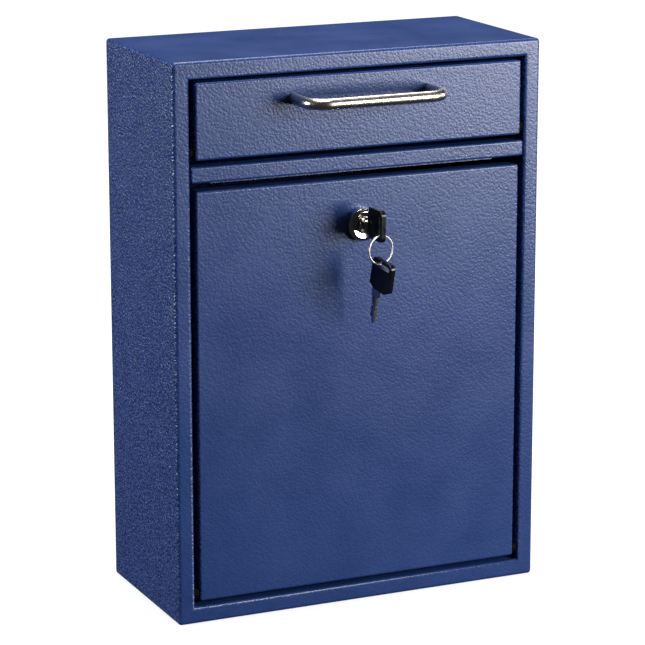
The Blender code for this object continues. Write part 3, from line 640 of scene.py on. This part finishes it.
def build_housing():
    """Bezel with a chamfered rim and a dished face, and the threaded, flatted barrel behind it."""
    outer = BEZEL_RADIUS
    face = BEZEL_PROJECTION
    flange = [
        (0, SEAT),
        (outer - 0.0003, SEAT),
        (outer, SEAT + 0.0003),
        (outer, face - 0.0019),
        *[(outer - 0.0004 * (1 - math.cos(t)), face - 0.0019 + 0.0004 * math.sin(t)) for t in (0.4, 0.8)],
        (outer - 0.0009, face - 0.0008),
        (outer - 0.0015, face - 0.0003),
        (outer - 0.0022, face - 0.0001),
        (outer - 0.0026, face),
        (BORE_RADIUS + 0.0002, face - 0.0007),
        (BORE_RADIUS, face - 0.0009),
        (0, face - 0.0009),
    ]
    housing = object_from("lock_body", moved(turned(flange, 80), facing_front(0, 0, LOCK_HEIGHT)), 25)
    root = BARREL_RADIUS - BARREL_THREAD
    profile = [(0, 0), (root, 0)]
    for i in range(int((BARREL_DEPTH - BARREL_THREAD_FROM) / BARREL_PITCH)):
        at = BARREL_THREAD_FROM + BARREL_PITCH * i
        profile += [(root, at), (BARREL_RADIUS, at + 0.0004), (BARREL_RADIUS, at + 0.0006)]
    profile += [(root, BARREL_DEPTH), (0, BARREL_DEPTH)]
    backward = Matrix.Translation(LOCK_PLACE) @ Matrix.Rotation(-math.pi / 2, 4, "X")
    barrel = object_from("barrel", moved(turned(profile, 64), backward))
    clear = 0.02
    flats = []
    for side in (-1, 1):
        start = (-clear, FRONT - 0.001, LOCK_HEIGHT + side * BARREL_FLAT)
        flats.append(box(start, (clear, FRONT + clear, LOCK_HEIGHT + side * clear)))
    boolean(barrel, merged(flats))
    bm = bmesh.new()
    bm.from_mesh(barrel.data)
    bpy.data.objects.remove(barrel)
    boolean(housing, moved(bm, Matrix.Translation((0, -0.0004, 0))), "UNION")
    boolean(housing, bore(LOCK_PLACE, "Y", BORE_RADIUS, 4 * BARREL_DEPTH, 64))
    finish(flatten(housing), "door", CHROME, ["lock_housing"])


def lock_block(half_width, half_height, start, end):
    """A block on the lock's centre line, from one depth to another."""
    low = LOCK_PLACE + Vector((-half_width, start, -half_height))
    return box(low, LOCK_PLACE + Vector((half_width, end, half_height)))


def build_plug():
    profile = [
        (0, 0),
        (PLUG_RADIUS, 0),
        (PLUG_RADIUS, PLUG_DEPTH - PLUG_FRONT - 0.0004),
        (PLUG_RADIUS - 0.0004, PLUG_DEPTH - PLUG_FRONT),
        (0, PLUG_DEPTH - PLUG_FRONT),
    ]
    place = facing_front(0, PLUG_DEPTH, LOCK_HEIGHT)
    plug = object_from("plug_face", moved(turned(profile, 64), place))
    boolean(plug, lock_block(NECK_HALF, NECK_HALF, PLUG_DEPTH - SHEET, PLUG_DEPTH + NECK), "UNION")
    boolean(plug, lock_block(KEYWAY_HALF_WIDTH, KEYWAY_HALF_HEIGHT, 2 * PLUG_FRONT, KEYWAY_DEPTH))
    half = WAFER_SLOT / 2
    slots = [
        lock_block(WAFER_HALF_WIDTH, 2 * PLUG_RADIUS, depth - half, depth + half)
        for depth in [FIRST_WAFER + WAFER_PITCH * i for i in range(WAFERS)]
    ]
    boolean(plug, merged(slots))
    neck_end = LOCK_PLACE + Vector((0, PLUG_DEPTH + NECK, 0))
    boolean(plug, bore(neck_end, "Y", CAM_SCREW_BORE_RADIUS, CAM_SCREW_BORE, 24))
    finish(flatten(plug), "plug", CHROME, ["lock_plug"])


def build_nut():
    """A hexagonal nut with its corners turned off."""
    low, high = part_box("lock_nut")
    hexagon = prism(arc((0, 0), NUT_RADIUS, 0, 6, 360)[:-1], 0, NUT)
    nut = object_from("barrel_nut", moved(hexagon, Matrix.Translation((0, low.y, LOCK_HEIGHT))))
    face, beyond = NUT_RADIUS - NUT_TURNED_OFF, NUT_RADIUS + 0.0002
    profile = [(0, 0), (face, 0), (beyond, 0.0007), (beyond, NUT - 0.0007), (face, NUT), (0, NUT)]
    cone = moved(turned(profile, 64), facing_front(0, high.y - FRONT, LOCK_HEIGHT))
    boolean(nut, cone, "INTERSECT")
    boolean(nut, barrel_opening(-0.01, 0.02))
    finish(flatten(nut), "door", ZINC, ["lock_nut"])


# ---------------------------------------------------------------- keys


def head_outline():
    end = HEAD_LENGTH - HEAD_CORNER
    return [
        (0, HEAD_LOW + HEAD_SHOULDER_HEIGHT),
        (HEAD_SHOULDER_LENGTH, HEAD_LOW),
        *arc((end, HEAD_LOW + HEAD_CORNER), HEAD_CORNER, -90, 4, 90),
        *arc((end, HEAD_HIGH - HEAD_CORNER), HEAD_CORNER, 0, 4, 90),
        (HEAD_SHOULDER_LENGTH, HEAD_HIGH),
        (0, HEAD_HIGH - HEAD_SHOULDER_HEIGHT),
    ]


def slot_outline():
    at = HEAD_LENGTH - SLOT_FROM_END
    low = arc((at, SLOT_LOW + SLOT_HALF_WIDTH), SLOT_HALF_WIDTH, 180, 12, 180)
    return low + arc((at, SLOT_HIGH - SLOT_HALF_WIDTH), SLOT_HALF_WIDTH, 0, 12, 180)


def build_head(name, pose, body, node):
    """A moulded head with a slot for the ring and a pocket for the blade's tang."""
    half = HEAD_THICKNESS / 2
    head = object_from(name, prism(head_outline(), -half, half))
    boolean(head, prism(slot_outline(), -2 * half, 2 * half))
    side = BLADE_THICKNESS / 2 + TANG_GAP
    reach = COLLAR_HALF_HEIGHT + TANG_GAP
    boolean(head, box((-HEAD_LENGTH, -side, -reach), (TANG + TANG_GAP, side, reach)))
    soften(head, 0.0007, 4, 30)
    bake(head)
    head.data.transform(pose)
    finish(flatten(head), body, BLACK, [node])


def blade_outline():
    outline = [
        (-COLLAR_LENGTH, COLLAR_HALF_HEIGHT),
        (TANG, COLLAR_HALF_HEIGHT),
        (TANG, -COLLAR_HALF_HEIGHT),
        (-COLLAR_LENGTH, -COLLAR_HALF_HEIGHT),
        (-COLLAR_LENGTH, -BLADE_HALF_HEIGHT),
    ]
    for i, cut in enumerate(BLADE_CUTS):
        middle = KEY_BACK - (FIRST_WAFER + WAFER_PITCH * i)
        outline += [
            (middle + WAFER_PITCH / 2, -BLADE_HALF_HEIGHT),
            (middle + CUT_HALF_WIDTH, cut - BLADE_HALF_HEIGHT),
            (middle - CUT_HALF_WIDTH, cut - BLADE_HALF_HEIGHT),
        ]
    nose = BLADE_HALF_HEIGHT / 2
    return outline + [
        (-BLADE_LENGTH, BLADE_HALF_HEIGHT - nose),
        (nose - BLADE_LENGTH, BLADE_HALF_HEIGHT),
        (-COLLAR_LENGTH, BLADE_HALF_HEIGHT),
    ]


def build_blade(name, pose, body, node, metal):
    """A blade with bitting cuts that show the brass under the plating, and a milled groove on each side."""
    half = BLADE_THICKNESS / 2
    blade = object_from(name, prism(blade_outline(), -half, half))
    start, end = -BLADE_LENGTH - 0.001, GROOVE_OVERLAP - COLLAR_LENGTH
    grooves = [
        box((start, half - GROOVE_DEPTH, -0.0012), (end, half + 0.001, -0.0002)),
        box((start, -half - 0.001, -0.0006), (end, GROOVE_DEPTH - half, 0.0004)),
    ]
    boolean(blade, merged(grooves))
    edges = [
        f.index
        for f in blade.data.polygons
        if abs(f.normal.y) < 0.5 and f.center.x < -COLLAR_LENGTH and abs(f.center.z) > BLADE_HALF_HEIGHT / 2
    ]
    blade.data.transform(pose)
    finish(blade, body, metal, [node])
    blade.data.materials.append(BRASS)
    for index in edges:
        blade.data.polygons[index].material_index = 1


def build_ring(hang):
    """A plain ring of bright wire that hangs from a point."""
    wire = arc((RING_RADIUS, 0), RING_WIRE, 0, 20, 360)[:-1]
    centre = Matrix.Translation(hang - Vector((0, 0, RING_RADIUS)))
    stand = Matrix.Rotation(HANG_YAW, 4, "Z") @ Matrix.Rotation(math.pi / 2, 4, "X")
    ring = object_from("split_ring", moved(turned(wire, 120, loop=True), centre @ stand))
    finish(ring, "ring", RING_METAL, ["key_ring"])


def build_keys():
    """The key in the lock, the ring through its head and the spare key that hangs on the ring."""
    slot_length = HEAD_LENGTH - SLOT_FROM_END
    build_head("key_grip", KEY_POSE, "key", "key_head")
    build_blade("key_shank", KEY_POSE, "key", "key_blade", KEY_METAL_LEVEL)
    up = Vector((0, 0, 1))
    hang = KEY_POSE @ Vector((slot_length - RING_BACK, 0, SLOT_LOW + RING_IN_SLOT))
    build_ring(hang)
    outward = Vector((math.sin(HANG_YAW), -math.cos(HANG_YAW), 0))
    length = math.sin(SPARE_TILT) * outward + math.cos(SPARE_TILT) * up
    height = math.cos(SPARE_TILT) * outward - math.sin(SPARE_TILT) * up
    turn = Matrix((length, height.cross(length), height)).transposed().to_4x4()
    rest = turn @ Vector((slot_length, 0, SLOT_LOW + SLOT_HALF_WIDTH + SPARE_SLIDE))
    held_at = rest + (SLOT_HALF_WIDTH - RING_IN_SLOT) * up
    pose = Matrix.Translation(hang - 2 * RING_RADIUS * up - held_at) @ turn
    build_head("spare_grip", pose, "spare", "spare_key_head")
    build_blade("spare_shank", pose, "spare", "spare_key_blade", KEY_METAL_UPRIGHT)


def dress_nodes():
    """Materials and small edge rounding for the CAD nodes that stay."""
    kept = {
        "back_panel": (PAINT, 0),
        "strike_plate": (PAINT, 0.0003),
        "hopper_tray": (PAINT, 0),
        "hopper_wing_left": (PAINT, 0.0002),
        "hopper_wing_right": (PAINT, 0.0002),
        "lock_cam": (ZINC, 0.0003),
        "cam_washer": (ZINC, 0.0001),
        "handle_washer_left": (ZINC, 0.0001),
        "handle_washer_right": (ZINC, 0.0001),
    }
    for prefix in ("hopper", "door"):
        for side in ("left", "right"):
            kept[f"{prefix}_pin_{side}"] = (ZINC, 0.0002)
            kept[f"{prefix}_spacer_{side}"] = (NYLON, 0.0001)
    for i in range(WAFERS):
        kept[f"lock_wafer_{i + 1}"] = (BRASS, 0.0001)
    for name, (material, edge) in kept.items():
        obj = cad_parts[name]
        obj.data.materials.clear()
        obj.data.materials.append(material)
        if edge:
            soften(obj, edge, 2, 50)
        flatten(obj)


# ---------------------------------------------------------------- studio


CAMERA_PLACE = Vector((-0.85882, -1.89799, 0.70920))
CAMERA_YAW = math.radians(24.325)
CAMERA_PITCH = math.radians(-13.881)
CAMERA_ROLL = math.radians(-0.0598)
CAMERA_LENS = 162.6


def build_camera():
    data = bpy.data.cameras.new("camera")
    data.lens = CAMERA_LENS
    data.sensor_width = 36
    data.clip_start = 0.05
    data.clip_end = 50
    camera = bpy.data.objects.new("camera", data)
    bpy.context.scene.collection.objects.link(camera)
    turn = Matrix.Rotation(-CAMERA_YAW, 4, "Z") @ Matrix.Rotation(math.pi / 2 + CAMERA_PITCH, 4, "X")
    camera.matrix_world = Matrix.Translation(CAMERA_PLACE) @ turn @ Matrix.Rotation(CAMERA_ROLL, 4, "Z")
    bpy.context.scene.camera = camera


def softbox(name, place, aim, width, height, power):
    data = bpy.data.lights.new(name, "AREA")
    data.shape = "RECTANGLE"
    data.size = width
    data.size_y = height
    data.energy = power
    light = bpy.data.objects.new(name, data)
    bpy.context.scene.collection.objects.link(light)
    light.location = place
    light.rotation_mode = "QUATERNION"
    light.rotation_quaternion = (Vector(aim) - Vector(place)).to_track_quat("-Z", "Y")


def build_world(level):
    """White behind the object, and a dimmer, even room for what it reflects."""
    world = bpy.data.worlds.new("studio")
    bpy.context.scene.world = world
    world.use_nodes = True
    nodes, links = world.node_tree.nodes, world.node_tree.links
    background = nodes["Background"]
    path = nodes.new("ShaderNodeLightPath")
    mix = nodes.new("ShaderNodeMix")
    mix.data_type = "RGBA"
    mix.inputs[6].default_value = (level, level, level * 1.03, 1)
    mix.inputs[7].default_value = (1, 1, 1, 1)
    links.new(path.outputs["Is Camera Ray"], mix.inputs[0])
    links.new(mix.outputs[2], background.inputs["Color"])


def build_studio():
    """Camera, room, floor and five softboxes aimed at the middle of the cabinet."""
    bpy.context.scene.view_settings.view_transform = "Standard"
    build_camera()
    build_world(0.015)
    bm = bmesh.new()
    bmesh.ops.create_grid(bm, x_segments=8, y_segments=8, size=8)
    floor = object_from("floor", bm)
    floor.data.materials.append(floor_material())
    floor.visible_glossy = False
    floor.visible_diffuse = False
    middle = (0, 0, 0.22)
    softbox("key_light", (1.18, -1.6, 0.57), middle, 0.92, 1.0, 52)
    softbox("top_light", (0.0, 0.0, 2.2), middle, 0.8, 0.8, 40)
    softbox("rear_light", (0.57, 1.0, 1.86), middle, 0.8, 0.8, 13)
    softbox("edge_light", (1.95, -0.3, 0.6), middle, 0.3, 1.0, 12)
    softbox("left_light", (-1.82, 0.62, 0.74), middle, 1.2, 0.8, 45)


build_shell()
build_rail()
build_doors()
build_handle()
for side in ("left", "right"):
    screw(f"handle_fixing_{side}", f"handle_screw_{side}", "hopper", HANDLE_SCREW_RADIUS)
screw("cam_fixing", "cam_screw", "plug", CAM_SCREW_RADIUS)
build_housing()
build_plug()
build_nut()
build_keys()
dress_nodes()
build_studio()
